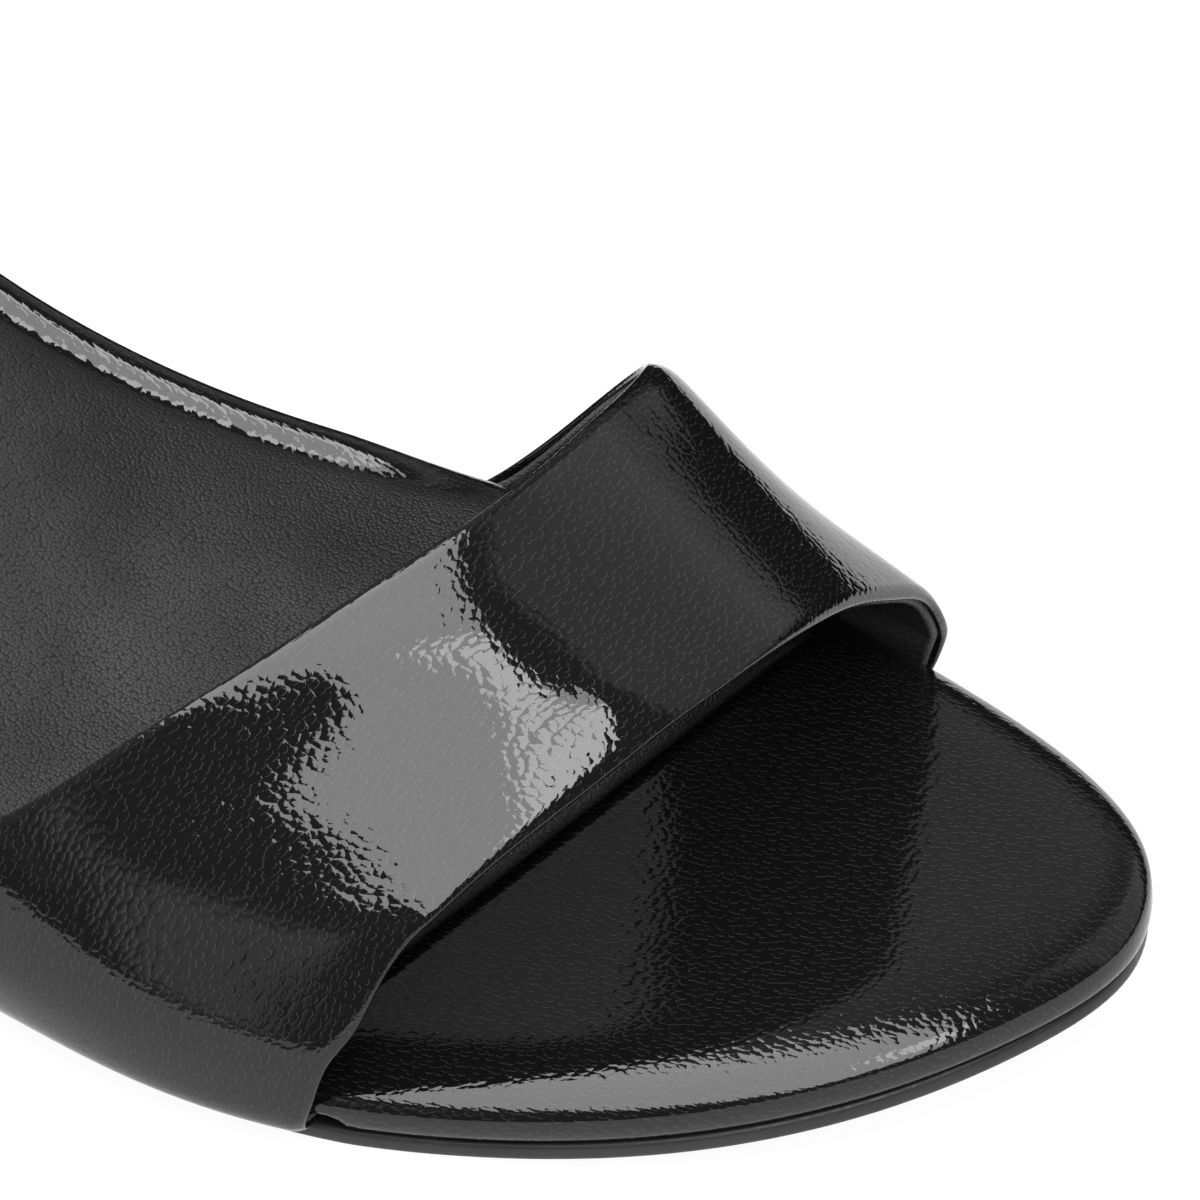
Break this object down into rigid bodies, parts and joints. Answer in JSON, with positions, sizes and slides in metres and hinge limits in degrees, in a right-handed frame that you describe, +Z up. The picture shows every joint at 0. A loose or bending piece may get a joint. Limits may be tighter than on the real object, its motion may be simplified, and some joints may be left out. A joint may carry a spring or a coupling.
{
  "type": "heeled mule sandal",
  "caption": "Right-foot heeled mule sandal with a broad glossy toe strap, a wrapped insole with a matte sock, a thin outsole and a covered heel.",
  "frame": {"origin": "on the floor, under the middle of the shoe's box", "axes": "+X towards the toe, +Y towards the inner side of the foot, +Z up"},
  "size_m": [0.2252, 0.0806, 0.071],
  "materials": {
    "patent": "black patent, high gloss over a fine grain",
    "nappa": "matte black, fine pebble grain",
    "sole": "satin black edge and underside",
    "rubber": "matte black"
  },
  "bodies": {
    "root": {"upper": "patent", "insole": "patent", "sock": "nappa", "outsole": "sole", "heel": "patent", "heel_tip": "rubber"}
  },
  "joints": []
}
